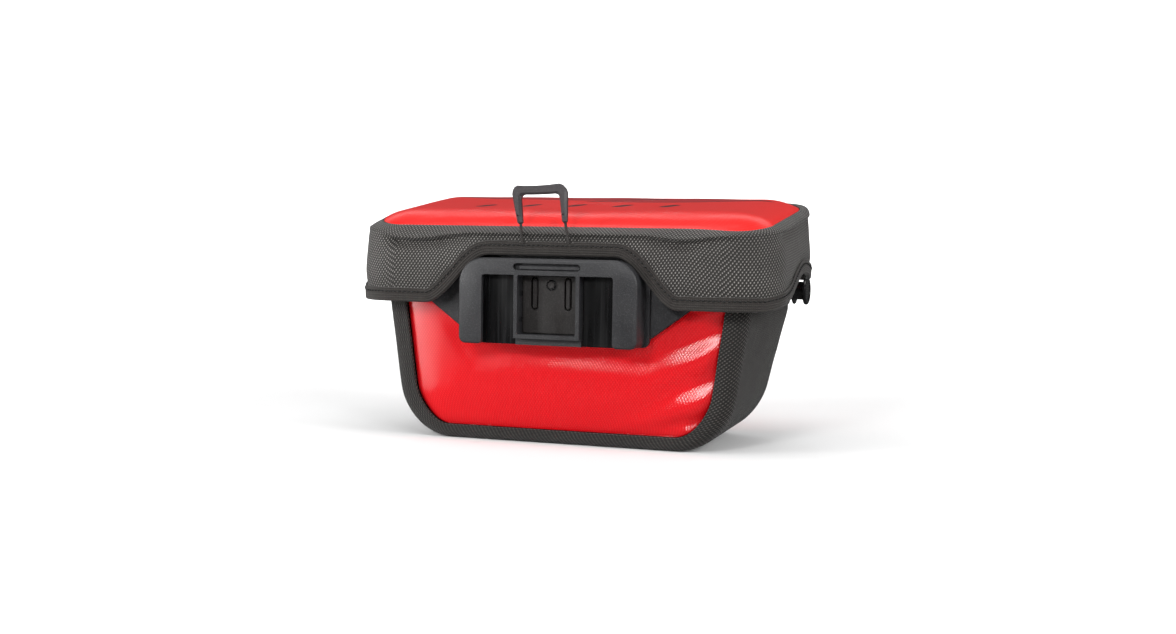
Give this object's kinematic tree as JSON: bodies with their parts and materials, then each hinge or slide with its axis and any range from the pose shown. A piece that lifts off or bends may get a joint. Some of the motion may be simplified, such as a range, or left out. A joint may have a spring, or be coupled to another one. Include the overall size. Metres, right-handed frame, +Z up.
{
  "type": "bicycle handlebar bag",
  "caption": "Small box-shaped handlebar bag with a sloping lid, overhanging skirt, moulded adapter plate, pull grip and side strap studs.",
  "frame": {"origin": "under the middle of the whole bag, on the surface it stands on", "axes": "+Z up, -Y out of the adapter plate towards the rider, +Y towards the lid's front edge, X along the lid"},
  "size_m": [0.26, 0.1296, 0.1474],
  "materials": {
    "red_cloth": "polyester cloth with a glossy red coating",
    "lid_red": "smooth glossy red coated sheet on a stiff board",
    "grey_cloth": "matte dark grey woven nylon",
    "hem_tape": "ribbed woven tape, nearly black",
    "black_plastic": "moulded black plastic with a fine grain",
    "gloss_plastic": "smooth glossy black plastic",
    "grip_plastic": "grey moulded plastic, satin",
    "cord": "black braided cord"
  },
  "bodies": {
    "root": {"body_gusset": "grey_cloth", "rear_panel": "red_cloth", "front_panel": "red_cloth", "lid_shell": "grey_cloth", "lid_binding": "hem_tape", "lid_panel": "lid_red", "mount_plate": "black_plastic", "mount_frame": "black_plastic", "guide_pad_left": "gloss_plastic", "guide_pad_right": "gloss_plastic", "lock_plate": "black_plastic", "lock_tongue_left": "black_plastic", "lock_tongue_right": "black_plastic", "lock_ring": "black_plastic", "release_bar": "gloss_plastic", "strap_stud_left": "gloss_plastic", "strap_stud_right": "gloss_plastic", "pull_grip": "grip_plastic", "pull_cord_left": "cord", "pull_cord_right": "cord"}
  },
  "joints": []
}
